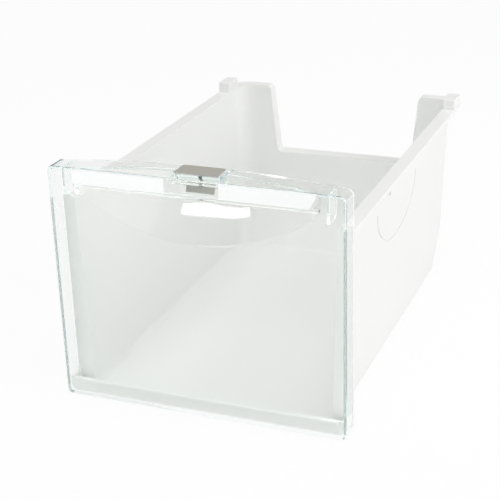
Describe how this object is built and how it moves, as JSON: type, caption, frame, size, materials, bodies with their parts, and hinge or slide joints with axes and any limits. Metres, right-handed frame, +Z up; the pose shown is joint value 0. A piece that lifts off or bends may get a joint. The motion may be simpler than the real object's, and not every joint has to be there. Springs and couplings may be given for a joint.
{
  "type": "fridge drawer",
  "caption": "Deep white moulded drawer with a notched back wall, a flange round its rim and a clear front panel that has a scooped grip recess behind a bar.",
  "frame": {"origin": "under the middle of the drawer, on the surface that it stands on", "axes": "+X to the right as seen from the front, +Y from the front panel to the back wall, +Z up"},
  "size_m": [0.3, 0.4786, 0.249],
  "materials": {
    "white_plastic": "satin moulded polystyrene",
    "clear_plastic": "polished clear polystyrene with a faint blue-green tint at its edges",
    "grey_plate": "satin warm grey"
  },
  "bodies": {
    "root": {"tub": "white_plastic", "front_panel": "clear_plastic", "badge_plate": "grey_plate"}
  },
  "joints": []
}
